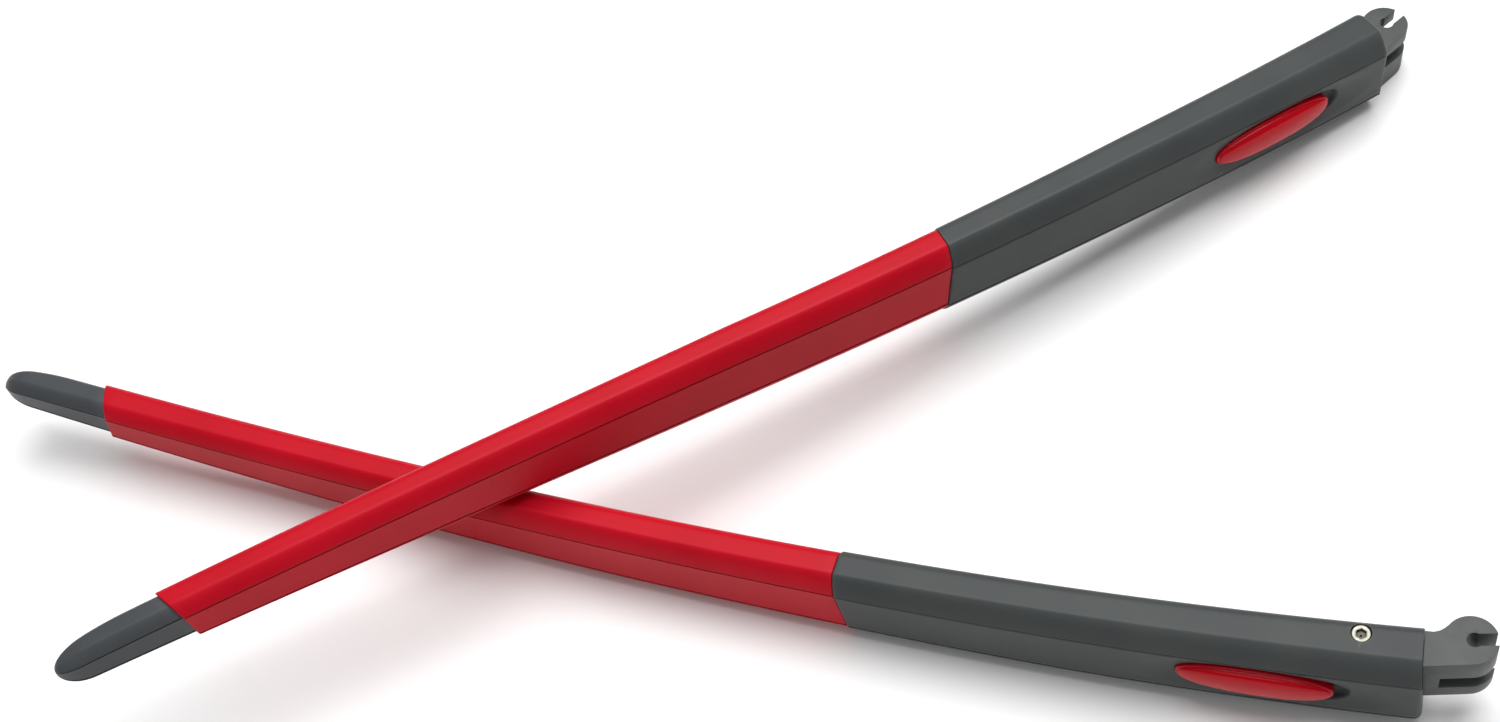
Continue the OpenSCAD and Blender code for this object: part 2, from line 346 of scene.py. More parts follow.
def outward(mesh):
    """Turns a closed mesh's faces outwards."""
    bm = bmesh.new()
    bm.from_mesh(mesh)
    if bm.calc_volume(signed=True) < 0:
        bmesh.ops.reverse_faces(bm, faces=bm.faces)
    bm.to_mesh(mesh)
    bm.free()


def finish_piece(mesh, arm, name, material, body, matrix=None, sharp=35):
    """Places the mesh, smooths it and makes it the piece that stands for its CAD node."""
    node = arm + "_" + name
    if matrix is not None:
        mesh.transform(matrix)
    outward(mesh)
    mesh.shade_smooth()
    mesh.set_sharp_from_angle(angle=math.radians(sharp))
    mesh.materials.clear()
    mesh.materials.append(material)
    piece = bpy.data.objects.new(node + "_skin", mesh)
    bpy.context.scene.collection.objects.link(piece)
    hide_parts(node)
    if body:
        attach(piece, arm + "_" + body)
    print("%-28s %6d faces" % (piece.name, len(mesh.polygons)))
    return piece


# %% [markdown]
# ## Materials
# Every surface here is either moulded plastic, soft elastomer or small bright metal. Moulded
# parts are never one flat colour: they have a fine spark-eroded grain, slow changes of tone and
# slightly paler, smoother edges where hands rub them. Those effects are shared, so each is a
# node group with named inputs, and the Principled shader stays in each material. Shade in the
# grooves, the inset's pocket and the screw's recess is painted into the base colour as well.


# %% Node helpers
def node_group(name, inputs, outputs):
    tree = bpy.data.node_groups.new(name, "ShaderNodeTree")
    for label, kind, value in inputs:
        socket = tree.interface.new_socket(name=label, in_out="INPUT", socket_type=kind)
        socket.default_value = value
    for label, kind in outputs:
        tree.interface.new_socket(name=label, in_out="OUTPUT", socket_type=kind)
    return tree, tree.nodes.new("NodeGroupInput"), tree.nodes.new("NodeGroupOutput")


def add(tree, kind, links=(), **values):
    """Adds a node, sets its properties, links sockets into its inputs and fills the others."""
    node = tree.nodes.new(kind)
    for key, value in values.items():
        setattr(node, key, value)
    for index, source in links:
        if isinstance(source, (int, float, tuple)):
            node.inputs[index].default_value = source
        else:
            tree.links.new(source, node.inputs[index])
    return node


FLOAT = "NodeSocketFloat"


# %% Grain of a moulded surface
def make_grain():
    tree, ins, outs = node_group(
        "moulded_grain",
        [("Grain size", FLOAT, 0.2 * MM), ("Depth", FLOAT, 0.3)],
        [("Height", FLOAT), ("Tone", FLOAT)],
    )
    place = add(tree, "ShaderNodeTexCoord").outputs["Object"]
    scale = add(tree, "ShaderNodeMath", [(0, 1.0), (1, ins.outputs["Grain size"])],
                operation="DIVIDE").outputs[0]
    fine = add(tree, "ShaderNodeTexNoise", [("Vector", place), ("Scale", scale), ("Detail", 3.0)])
    slow = add(tree, "ShaderNodeTexNoise", [("Vector", place), ("Scale", 140.0), ("Detail", 2.0)])
    height_out = add(tree, "ShaderNodeMath", [(0, fine.outputs["Fac"]), (1, ins.outputs["Depth"])],
                     operation="MULTIPLY").outputs[0]
    mix = add(tree, "ShaderNodeMath", [
        (0, fine.outputs["Fac"]), (1, 0.35), (2, slow.outputs["Fac"]),
    ], operation="MULTIPLY_ADD").outputs[0]
    tone = add(tree, "ShaderNodeMapRange", [("Value", mix), ("From Min", 0.35), ("From Max", 1.0)])
    tree.links.new(height_out, outs.inputs["Height"])
    tree.links.new(tone.outputs["Result"], outs.inputs["Tone"])
    return tree


GRAIN = make_grain()


# %% Rubbed edges
def make_edge_wear():
    tree, ins, outs = node_group(
        "edge_wear", [("Amount", FLOAT, 0.5)], [("Mask", FLOAT)],
    )
    bend = add(tree, "ShaderNodeNewGeometry").outputs["Pointiness"]
    edge = add(tree, "ShaderNodeMapRange", [
        ("Value", bend), ("From Min", 0.505), ("From Max", 0.56),
    ])
    place = add(tree, "ShaderNodeTexCoord").outputs["Object"]
    patch = add(tree, "ShaderNodeTexNoise", [("Vector", place), ("Scale", 420.0), ("Detail", 3.0)])
    broken = add(tree, "ShaderNodeMath", [(0, edge.outputs["Result"]), (1, patch.outputs["Fac"])],
                 operation="MULTIPLY").outputs[0]
    mask = add(tree, "ShaderNodeMath", [(0, broken), (1, ins.outputs["Amount"])],
               operation="MULTIPLY", use_clamp=True).outputs[0]
    tree.links.new(mask, outs.inputs["Mask"])
    return tree


EDGE_WEAR = make_edge_wear()


# %% A moulded material
def moulded(name, dark, pale, rubbed, rough, grain=0.2 * MM, depth=0.3, wear=0.5, bump=0.02 * MM,
            shader_values=None):
    """Base colour by the grain's tone, paler where rubbed, with painted shade down in grooves."""
    material = bpy.data.materials.new(name)
    material.use_nodes = True
    tree = material.node_tree
    shader = tree.nodes["Principled BSDF"]
    grain_node = add(tree, "ShaderNodeGroup", [], node_tree=GRAIN)
    grain_node.inputs["Grain size"].default_value = grain
    grain_node.inputs["Depth"].default_value = depth
    wear_node = add(tree, "ShaderNodeGroup", [], node_tree=EDGE_WEAR)
    wear_node.inputs["Amount"].default_value = wear
    groove_shade = add(tree, "ShaderNodeAttribute", attribute_name="groove_shade").outputs["Fac"]
    tone = add(tree, "ShaderNodeMix", [
        (0, grain_node.outputs["Tone"]), (6, (*dark, 1)), (7, (*pale, 1)),
    ], data_type="RGBA")
    worn = add(tree, "ShaderNodeMix", [
        (0, wear_node.outputs["Mask"]), (6, tone.outputs[2]), (7, (*rubbed, 1)),
    ], data_type="RGBA")
    # Painted shade: the colour darkens towards 0.4 of the dark tone in grooves, the pocket and the recess.
    painted_shade_mix = add(tree, "ShaderNodeMix", [
        (0, groove_shade), (6, worn.outputs[2]), (7, (*(0.4 * v for v in dark), 1)),
    ], data_type="RGBA")
    tree.links.new(painted_shade_mix.outputs[2], shader.inputs["Base Color"])
    gloss = add(tree, "ShaderNodeMapRange", [
        ("Value", wear_node.outputs["Mask"]), ("To Min", rough), ("To Max", rough - 0.12),
    ])
    tree.links.new(gloss.outputs["Result"], shader.inputs["Roughness"])
    relief = add(tree, "ShaderNodeBump", [
        ("Height", grain_node.outputs["Height"]), ("Distance", bump),
    ])
    tree.links.new(relief.outputs["Normal"], shader.inputs["Normal"])
    for label, value in (shader_values or {"Specular IOR Level": 0.18}).items():
        shader.inputs[label].default_value = value
    return material


def srgb(*values):
    """Colour given as 0 to 255 display values, as linear light."""
    return tuple(((v / 255 + 0.055) / 1.055) ** 2.4 if v > 10 else v / 255 / 12.92 for v in values)


# %% The arm's plastics and elastomer
GRIP = moulded("grip_soft_red", srgb(176, 2, 24), srgb(190, 5, 32), srgb(200, 40, 58), 0.46,
               grain=0.16 * MM, depth=0.35, wear=0.4,
               shader_values={"Specular IOR Level": 0.14})
HOUSING = moulded("housing_grey", srgb(60, 63, 64), srgb(70, 73, 72), srgb(104, 106, 104), 0.42,
                  grain=0.18 * MM, wear=0.45)
STEM = moulded("stem_grey", srgb(62, 65, 68), srgb(72, 75, 78), srgb(104, 106, 106), 0.40,
               grain=0.18 * MM, wear=0.45)
FORK = moulded("fork_grey", srgb(66, 70, 70), srgb(76, 80, 79), srgb(106, 108, 106), 0.44,
               grain=0.2 * MM, wear=0.5)
INSET = moulded("inset_gloss_red", srgb(176, 0, 18), srgb(188, 2, 24), srgb(204, 30, 48), 0.14,
                grain=0.9 * MM, depth=0.15, wear=0.2, bump=0.004 * MM,
               shader_values={"Specular IOR Level": 0.12, "Coat Weight": 0.12})
STEEL = moulded("screw_steel", srgb(138, 136, 124), srgb(160, 158, 146), srgb(196, 194, 184), 0.5,
                grain=0.06 * MM, depth=0.4, wear=0.6, bump=0.004 * MM,
                shader_values={"Metallic": 1.0})
SPRING_STEEL = moulded("spring_steel", srgb(150, 150, 152), srgb(186, 186, 188),
                       srgb(220, 220, 222), 0.32, grain=0.05 * MM, wear=0.3, bump=0.003 * MM,
                       shader_values={"Metallic": 1.0})
BRASS = moulded("block_brass", srgb(176, 138, 70), srgb(206, 170, 98), srgb(226, 200, 140), 0.36,
                grain=0.08 * MM, wear=0.6, bump=0.004 * MM,
                shader_values={"Metallic": 1.0})

# %% [markdown]
# ## The soft grip
# The grip is a sleeve moulded over the stem, so its wall follows the arm all the way. It is the
# main piece whose shape is a pure rule, so Geometry Nodes make it: a base mesh holds only each
# point's place in the ring and along the arm, and the tree works out where it goes from named
# sizes. Its ends lean and have a small round edge, where it meets the stem and the housing.

# %% A node tree that lays points along the arm
TEMPLATE = ring_template()
ATTRIBUTES = ("across", "up", "inner", "upper", "drop", "sink", "inset", "lean", "turn", "station")


def geometry_tree(name, sizes):
    """A Geometry Nodes tree with a geometry input, named sizes, a material and an output."""
    tree = bpy.data.node_groups.new(name, "GeometryNodeTree")
    face = tree.interface
    face.new_socket(name="Geometry", in_out="INPUT", socket_type="NodeSocketGeometry")
    for label, value in sizes.items():
        face.new_socket(name=label, in_out="INPUT", socket_type=FLOAT).default_value = value
    face.new_socket(name="Material", in_out="INPUT", socket_type="NodeSocketMaterial")
    face.new_socket(name="Geometry", in_out="OUTPUT", socket_type="NodeSocketGeometry")
    return tree, tree.nodes.new("NodeGroupInput"), tree.nodes.new("NodeGroupOutput")


def end_tree(tree, ins, outs, geometry):
    """Realizes what the tree made, gives it its material and sends it out."""
    real = add(tree, "GeometryNodeRealizeInstances", [(0, geometry)])
    paint = add(tree, "GeometryNodeSetMaterial", [(0, real.outputs[0])])
    tree.links.new(ins.outputs["Material"], paint.inputs["Material"])
    tree.links.new(paint.outputs[0], outs.inputs[0])


def make_arm_tree():
    tree, ins, outs = geometry_tree("arm_skin", SIZES)
    size = {label: Field(tree, ins.outputs[label]) for label in SIZES}
    p = {}
    for label in ATTRIBUTES:
        node = add(tree, "GeometryNodeInputNamedAttribute", data_type="FLOAT")
        node.inputs["Name"].default_value = label
        p[label] = Field(tree, node.outputs["Attribute"])
    x, y, z = leaned_point(p["station"], p, size)
    place = add(tree, "ShaderNodeCombineXYZ", [(0, x.socket), (1, y.socket), (2, z.socket)])
    moved = add(tree, "GeometryNodeSetPosition", [("Geometry", ins.outputs["Geometry"])])
    tree.links.new(place.outputs[0], moved.inputs["Position"])
    end_tree(tree, ins, outs, moved.outputs[0])
    return tree


ARM_TREE = make_arm_tree()
print("arm_skin tree has", len(ARM_TREE.nodes), "nodes")


# %% Run a tree and keep its mesh
def run_tree(tree, mesh, material, values):
    """The plain mesh that the tree makes from a base mesh, with no modifier left."""
    base = bpy.data.objects.new("base", mesh)
    bpy.context.scene.collection.objects.link(base)
    modifier = base.modifiers.new("tree", "NODES")
    modifier.node_group = tree
    for item in tree.interface.items_tree:
        if item.in_out == "INPUT" and item.name in values:
            modifier[item.identifier] = values[item.name]
        if item.in_out == "INPUT" and item.name == "Material":
            modifier[item.identifier] = material
    graph = bpy.context.evaluated_depsgraph_get()
    made = bpy.data.meshes.new_from_object(base.evaluated_get(graph), depsgraph=graph)
    bpy.data.objects.remove(base)
    for label in ATTRIBUTES:
        if label in made.attributes:
            made.attributes.remove(made.attributes[label])
    return made


def base_for_tree(name, rows, template):
    """A mesh whose points carry their place in the ring and along the arm as attributes."""
    count = len(template["up"])
    mesh = bpy.data.meshes.new(name)
    mesh.from_pydata([(0, 0, 0)] * (len(rows) * count), [], quads(len(rows), count, closed=True))
    values = {label: np.tile(template[label], len(rows)) for label in template}
    for label, row in zip(("station", "inset", "lean", "turn"), np.array(rows, float).T):
        values[label] = np.repeat(row, count)
    # Painted shade along the grip's grooves, kept as a mask for the material.
    store_groove_shade(mesh, values["sink"] / GROOVE)
    for label in ATTRIBUTES:
        attribute = mesh.attributes.new(label, "FLOAT", "POINT")
        attribute.data.foreach_set("value", values[label].astype(np.float32))
    return mesh


# %% The grip sleeves
GRIP_WALL, GRIP_BACK, GRIP_FRONT = 0.72 * MM, -54.25 * MM, 14.5 * MM
BACK_SEAM, FRONT_SEAM = (-10, 22), (6.5, 0)    # lean and turn of the seams
SEAM_RADIUS = 0.1 * MM


def grip_rows(steps=70):
    """Station, inset, lean and turn of rings out over the skin and back through the bore."""
    rows = []
    for x, inset in reversed(rounded_end(GRIP_BACK, 0, SEAM_RADIUS, -1)):
        rows.append((x, inset, *tangents(BACK_SEAM)))
    for i in range(1, steps):
        f = i / steps
        x = GRIP_BACK + SEAM_RADIUS + (GRIP_FRONT - GRIP_BACK - 2 * SEAM_RADIUS) * f
        rows.append((x, 0, *tangents(between(BACK_SEAM, FRONT_SEAM, f))))
    for x, inset in rounded_end(GRIP_FRONT, 0, SEAM_RADIUS, 1):
        rows.append((x, inset, *tangents(FRONT_SEAM)))
    for i in range(steps, -1, -2):
        x = GRIP_BACK + (GRIP_FRONT - GRIP_BACK) * i / steps
        rows.append((x, GRIP_WALL, *tangents(between(BACK_SEAM, FRONT_SEAM, i / steps))))
    return rows


for arm in SIDES:
    base = base_for_tree("grip_base", grip_rows(), TEMPLATE)
    sleeve = run_tree(ARM_TREE, base, GRIP, SIZES)
    finish_piece(sleeve, arm, "grip_sleeve", GRIP, "arm", ARM[arm])

# %% [markdown]
# ## The stem
# The stem is one dark moulding. Its ear tip is bare and rounded, a little lower than the grip's
# skin, and the rest is a slim core inside the grip with a tongue that reaches into the housing.
# It is made from rings in plain mesh code, because its size steps down under the grip.

# %% The stems
TIP_STEP, CORE_INSET = 0.3 * MM, 0.77 * MM
TONGUE_END = 28 * MM
SEAM_GAP, FINE_GAP = 0.05 * MM, 0.01 * MM


def stem_rings(rounding=30):
    rings = []
    for i in range(rounding + 1):
        x = -HALF + TIP_IN * (1 - math.cos(math.radians(90 * i / rounding)))
        rings.append(ring_at(TEMPLATE, x, TIP_STEP))
    start, end = TIP_IN - HALF, GRIP_BACK - FINE_GAP
    for i in range(1, 7):
        f = i / 6
        x = start + (end - start) * f
        rings.append(ring_at(TEMPLATE, x, TIP_STEP, between((0, 0), BACK_SEAM, f)))
    rings.append(ring_at(TEMPLATE, end, CORE_INSET, BACK_SEAM))
    for x in np.linspace(end + 2 * MM, TONGUE_END, 36):
        rings.append(ring_at(TEMPLATE, x, CORE_INSET))
    return rings


for arm in SIDES:
    stem = mesh_of_rings("stem", stem_rings())
    # Painted shade along the stem's grooves.
    stem_groove_shade = np.tile(TEMPLATE["sink"] / GROOVE, len(stem_rings()))
    store_groove_shade(stem, np.append(stem_groove_shade, (0, 0)))
    finish_piece(stem, arm, "stem", STEM, "arm", ARM[arm])

# %% [markdown]
# ## The front housing
# The housing is a hollow moulding: a socket at the back takes the stem's tongue, and a square
# pocket at the front takes the fork. Outside it has a shallow leaf-shaped scoop and, sunk in
# that, a pointed oval pocket for the inset. The rings run from the bottom of the socket, over
# the skin, and into the front pocket, so it is one closed surface. The scoop and the pocket are
# pressed into a dense stretch of rings.

# %% The scoop and the oval pocket
OVAL_X, OVAL_TURN = 47.4 * MM, 4
OVAL_LENGTH, OVAL_HEIGHT, OVAL_DOME = 12 * MM, 3.5 * MM, 0.8 * MM
OVAL_POWER, OVAL_FULLNESS = 0.85, 2.3
POCKET_DEPTH, SCOOP_DEPTH = 0.5 * MM, 0.3 * MM
POCKET = (0.25 * MM, OVAL_LENGTH + 0.7 * MM, OVAL_HEIGHT + 0.5 * MM, 0.7 * MM)
SCOOP = (0.6 * MM, 20 * MM, 5.4 * MM, 0.8 * MM)
OUTER_SKIN = 1.2 * MM        # points further than this from the oval's plane are left alone
OVAL_AT = Vector((OVAL_X, side(OVAL_X) - thickness(OVAL_X) / 2, centre(OVAL_X)))
oval_to_arm = (Matrix.Translation(OVAL_AT) @ Matrix.Rotation(math.radians(OVAL_TURN), 4, "Z")
               @ Matrix.Rotation(math.radians(90), 4, "X"))


def oval_reach(u, v, shape):
    """0 at the middle of a pointed oval and 1 on its edge. Its shape is middle, length, height
    and how much further it reaches to the front."""
    middle_u, length, tall, point = shape
    u = u - middle_u
    grown = length / 2 + np.where(u > 0, point, 0)
    return (np.abs(u / grown) ** OVAL_FULLNESS + np.abs(v / (tall / 2)) ** OVAL_FULLNESS) ** (
        1 / OVAL_FULLNESS)


def soft_step(value, low, high):
    t = np.clip((value - low) / (high - low), 0, 1)
    return t * t * (3 - 2 * t)


def press_pocket(points):
    """Sinks the scoop and the pocket into points of the outer side, and says how deep each is in the
    pocket, which is also the mask of the pocket's painted shade.
    """
    flip = np.array(oval_to_arm.inverted())
    local = points @ flip[:3, :3].T + flip[:3, 3]
    u, v, depth = local.T
    outside = np.abs(depth) < OUTER_SKIN
    scoop = 1 - soft_step(oval_reach(u, v, SCOOP), 0.55, 1.0)
    pocket = np.where(outside, 1 - soft_step(oval_reach(u, v, POCKET), 0.94, 1.0), 0)
    local[:, 2] -= np.where(outside, scoop * SCOOP_DEPTH, 0) + pocket * (POCKET_DEPTH - 0.1 * MM)
    back = np.array(oval_to_arm)
    return local @ back[:3, :3].T + back[:3, 3], pocket


# %% The rings of the housing
HOUSING_STEP = 0.1 * MM
ROOM = (2.4 * MM, 3.8 * MM)  # width and height of the front pocket
ROOM_LENGTH = 6.05 * MM
DENSE = ring_template(corner_steps=12, flat_rows=4, band_rows=50)
FACE_RADIUS = (0.33 + 0.27 * DENSE["upper"]) * MM      # larger along the top edge


def room_ring(outer, depth):
    """A ring on the front pocket's rectangle, each point facing its own point of the outer ring."""
    flip = np.array(hinge_to_arm.inverted())
    local = outer @ flip[:3, :3].T + flip[:3, 3]
    reach = np.maximum(np.abs(local[:, 1]) / (ROOM[0] / 2), np.abs(local[:, 2]) / (ROOM[1] / 2))
    y, z = local[:, 1] / reach, local[:, 2] / reach
    x = z * tangents(FACE)[0] if depth == 0 else np.full(len(y), -depth)
    back = np.array(hinge_to_arm)
    return np.stack([x, y, z], 1) @ back[:3, :3].T + back[:3, 3]


def housing_rings():
    """The rings, and how deep each of their points lies in a groove or in the pocket: the mask of
    their painted shade.
    """
    seam = GRIP_FRONT + SEAM_GAP
    lean, turn = tangents(FACE)
    front = HINGE_AT.x - HINGE_AT.z * lean + HINGE_AT.y * turn + SEAM_GAP - FINE_GAP
    rings = [ring_at(DENSE, TONGUE_END + 0.2 * MM, GRIP_WALL)]
    rings += [ring_at(DENSE, x, GRIP_WALL, FRONT_SEAM) for x in (26 * MM, 20 * MM, seam)]
    for x, inset in reversed(rounded_end(seam, -HOUSING_STEP, 0.18 * MM, -1)):
        rings.append(ring_at(DENSE, x, inset, FRONT_SEAM))
    shade_marks = [0 * DENSE["sink"]] * len(rings)
    plain, dense, last = 38 * MM, 57.5 * MM, front - 0.6 * MM
    stations = np.concatenate([
        np.linspace(seam + 0.4 * MM, plain, 50)[:-1], np.linspace(plain, dense, 176)[:-1],
        np.linspace(dense, last, 20)[:-1],
    ])
    for x in stations:
        plane = between(FRONT_SEAM, FACE, (x - seam) / (front - seam))
        ring, pocket = press_pocket(ring_at(DENSE, x, -HOUSING_STEP, plane))
        rings.append(ring)
        shade_marks.append(np.maximum(DENSE["sink"] / GROOVE, pocket))
    for x, inset in rounded_end(front, -HOUSING_STEP, FACE_RADIUS, 1, steps=6):
        rings.append(ring_at(DENSE, x, inset, FACE))
    rings += [room_ring(rings[-1], depth) for depth in (0, 1.2 * MM, ROOM_LENGTH)]
    shade_marks += [0 * DENSE["sink"]] * (len(rings) - len(shade_marks))
    return rings, np.append(np.concatenate(shade_marks), (0, 0))


# %% The hole of the retaining screw
LOCK_X, LOCK_Y = -4.7 * MM, 0.75 * MM
LOCK_RADIUS, LOCK_HEAD_RADIUS, LOCK_HEAD = 0.4 * MM, 0.75 * MM, 0.4 * MM
LOCK_SEAT = 1.85 * MM + 0.35 * MM


def cut_round(mesh, at, radius, depth, to_arm):
    """Cuts a round hole down the pin's direction into a mesh in the arm's frame."""
    bm = bmesh.new()
    bmesh.ops.create_cone(bm, cap_ends=True, segments=64, radius1=radius, radius2=radius,
                          depth=depth, matrix=to_arm @ Matrix.Translation(at))
    tool_mesh = bpy.data.meshes.new("tool")
    bm.to_mesh(tool_mesh)
    bm.free()
    body = bpy.data.objects.new("body", mesh)
    tool = bpy.data.objects.new("tool", tool_mesh)
    for thing in (body, tool):
        bpy.context.scene.collection.objects.link(thing)
    cut = body.modifiers.new("cut", "BOOLEAN")
    cut.operation, cut.object, cut.solver = "DIFFERENCE", tool, "EXACT"
    graph = bpy.context.evaluated_depsgraph_get()
    made = bpy.data.meshes.new_from_object(body.evaluated_get(graph), depsgraph=graph)
    bpy.data.objects.remove(body)
    bpy.data.objects.remove(tool)
    return made


for arm in SIDES:
    rings, shade_marks = housing_rings()
    shell = mesh_of_rings("housing", rings)
    # Painted shade in the grooves and down in the inset's pocket.
    store_groove_shade(shell, shade_marks)
    outward(shell)
    well_depth = 4 * MM
    at = Vector((LOCK_X, LOCK_Y, -LOCK_SEAT - well_depth / 2))
    shell = cut_round(shell, at, LOCK_HEAD_RADIUS + 0.05 * MM, well_depth, hinge_to_arm)
    finish_piece(shell, arm, "front_housing", HOUSING, "arm", ARM[arm], sharp=50)

# %% [markdown]
# ## The oval inset
# The inset is a glossy domed oval with a crisp rounded rim, set in the pocket on two pegs. Its
# rings grow from the underside, round the rim and up over the dome to a pole.


# %% The insets
def oval_ring(scale, level, count=120):
    a = np.linspace(0, 2 * np.pi, count, endpoint=False)
    c, s = np.cos(a), np.sin(a)
    u = OVAL_LENGTH / 2 * np.sign(c) * np.abs(c) ** OVAL_POWER
    v = OVAL_HEIGHT / 2 * np.sign(s) * np.abs(s) ** OVAL_POWER
    return np.stack([u, v, np.zeros(count)], 1) * [scale[0], scale[1], 0] + [0, 0, level]


def inset_rings():
    floor = SEAM_GAP - POCKET_DEPTH
    rim = 0.16 * MM
    long, tall = OVAL_LENGTH / 2, OVAL_HEIGHT / 2
    rings = [oval_ring((1, 1), floor), oval_ring((1, 1), -0.1 * MM)]
    for i in range(1, 7):
        a = math.radians(15 * i)
        shrink = rim * (1 - math.cos(a))
        level = -0.1 * MM + rim * math.sin(a)
        rings.append(oval_ring((1 - shrink / long, 1 - shrink / tall), level))
    start = rings[-1][0, 2]
    for i in range(1, 15):
        f = i / 14.5
        k = math.cos(f * math.pi / 2)
        rise = (OVAL_DOME - start) * math.sin(f * math.pi / 2)
        rings.append(oval_ring(((1 - rim / long) * k, (1 - rim / tall) * k), start + rise))
    return rings


for arm in SIDES:
    dome = mesh_of_rings("inset", inset_rings())
    finish_piece(dome, arm, "oval_insert", INSET, "arm", ARM[arm] @ oval_to_arm, sharp=60)

# %% [markdown]
# ## The hinge fork and the small metal parts
# The fork, the guide block and the spring screw already have the right shape in the packed
# model. Each is copied, its loose triangles are merged and flat areas cleaned, and a fine bevel
# then gives it the soft edges that moulded and turned parts have. The copy stands for its node.


# %% Bevel a copy of a CAD node
def bevelled_copy(node, width, segments=3, angle=28):
    source = frame["nodes"][node].data
    bm = bmesh.new()
    bm.from_mesh(source)
    bmesh.ops.remove_doubles(bm, verts=bm.verts, dist=0.002 * MM)
    bmesh.ops.dissolve_limit(bm, angle_limit=math.radians(1.5), verts=bm.verts, edges=bm.edges)
    mesh = bpy.data.meshes.new(node)
    bm.to_mesh(mesh)
    bm.free()
    body = bpy.data.objects.new("body", mesh)
    bpy.context.scene.collection.objects.link(body)
    bevel = body.modifiers.new("edges", "BEVEL")
    bevel.width, bevel.segments, bevel.limit_method = width, segments, "ANGLE"
    bevel.angle_limit, bevel.use_clamp_overlap = math.radians(angle), True
    graph = bpy.context.evaluated_depsgraph_get()
    made = bpy.data.meshes.new_from_object(body.evaluated_get(graph), depsgraph=graph)
    bpy.data.objects.remove(body)
    return made


for arm in SIDES:
    finish_piece(bevelled_copy(arm + "_hinge_fork", 0.14 * MM), arm, "hinge_fork", FORK, "fork")
    finish_piece(bevelled_copy(arm + "_guide_block", 0.1 * MM), arm, "guide_block", BRASS, "arm")
    long_screw = bevelled_copy(arm + "_spring_screw", 0.06 * MM)
    finish_piece(long_screw, arm, "spring_screw", STEEL, "fork")

# %% [markdown]
# ## The retaining screw
# Only the screw's head shows, as a bright ring round a dull recess. Its outline is turned round
# its axis like a part on a lathe, and the recess has six sides for a key.


# %% The screws
def screw_mesh():
    """Rings round the axis: shank, head, rounded rim and a six-sided recess, with shade painted in it."""
    count = 72
    a = np.linspace(0, 2 * np.pi, count, endpoint=False)
    hexagon = np.cos(np.pi / 6) / np.cos((a + np.pi / 6) % (np.pi / 3) - np.pi / 6)
    rim, top_z, key, key_depth = 0.12 * MM, LOCK_HEAD, 0.4 * MM, 0.34 * MM
    outline = [(0.3 * MM, -1.2 * MM, 0), (LOCK_RADIUS, -1.1 * MM, 0), (LOCK_RADIUS, 0, 0),
               (LOCK_HEAD_RADIUS - 0.04 * MM, 0, 0), (LOCK_HEAD_RADIUS, 0.04 * MM, 0)]
    for i in range(6):
        b = math.radians(18 * i)
        outline.append((LOCK_HEAD_RADIUS - rim * (1 - math.cos(b)),
                        top_z - rim * (1 - math.sin(b)), 0))
    outline += [(key + 0.06 * MM, top_z, 0.5), (key, top_z - 0.04 * MM, 1),
                (key, top_z - key_depth, 1), (0.1 * MM, top_z - key_depth - 0.06 * MM, 1)]
    rings = []
    for radius, z, six in outline:
        r = radius * (1 + (hexagon - 1) * six)
        rings.append(np.stack([r * np.cos(a), r * np.sin(a), np.full(count, z)], 1))
    mesh = mesh_of_rings("screw", rings)
    # Painted shade: full down in the recess, a quarter at its lip.
    recess_shade = [six / 2 for _, _, six in outline[:-3]] + [1, 1, 1]
    store_groove_shade(mesh, np.append(np.repeat(recess_shade, count), (0, 1)))
    return mesh


for arm in SIDES:
    seat = Matrix.Translation((LOCK_X, LOCK_Y, -LOCK_SEAT)) @ Matrix.Rotation(math.pi, 4, "X")
    finish_piece(screw_mesh(), arm, "retaining_screw", STEEL, "arm", HINGE[arm] @ seat)

# %% [markdown]
# ## The coil spring and the stiffening wire
# Both follow a path, so Geometry Nodes sweep a round wire along a curve: a spiral for the spring,
# and the arm's own middle line for the stiffening wire. A straight coil lies between the arm and
# the fork; on the real hinge it closes up as the fork is pulled out.

# %% The coil springs
SPRING = {"Radius": 0.85 * MM, "Wire": 0.15 * MM, "Turns": 7.0, "Span": 5.6 * MM}
SPRING_BACK = -12 * MM


def make_spring_tree():
    tree, ins, outs = geometry_tree("coil_spring", SPRING)
    coil = add(tree, "GeometryNodeCurveSpiral", [("Resolution", 28)])
    for socket, label in (("Rotations", "Turns"), ("Start Radius", "Radius"),
                          ("End Radius", "Radius"), ("Height", "Span")):
        tree.links.new(ins.outputs[label], coil.inputs[socket])
    wire = add(tree, "GeometryNodeCurvePrimitiveCircle", [("Resolution", 12)])
    tree.links.new(ins.outputs["Wire"], wire.inputs["Radius"])
    swept = add(tree, "GeometryNodeCurveToMesh", [
        ("Curve", coil.outputs[0]), ("Profile Curve", wire.outputs[0]), ("Fill Caps", True),
    ])
    end_tree(tree, ins, outs, swept.outputs[0])
    return tree


SPRING_TREE = make_spring_tree()
for arm in SIDES:
    coil = run_tree(SPRING_TREE, bpy.data.meshes.new("seed"), SPRING_STEEL, SPRING)
    start = SPRING_BACK + SPRING["Wire"] + SEAM_GAP
    lie = Matrix.Translation((start, 0, 0)) @ Matrix.Rotation(math.radians(90), 4, "Y")
    spring = finish_piece(coil, arm, "hinge_spring", SPRING_STEEL, None, HINGE[arm] @ lie)
    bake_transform(spring)

# %% The stiffening wires
WIRE = {"From": -58 * MM, "To": 24 * MM, "Wire": 0.45 * MM}


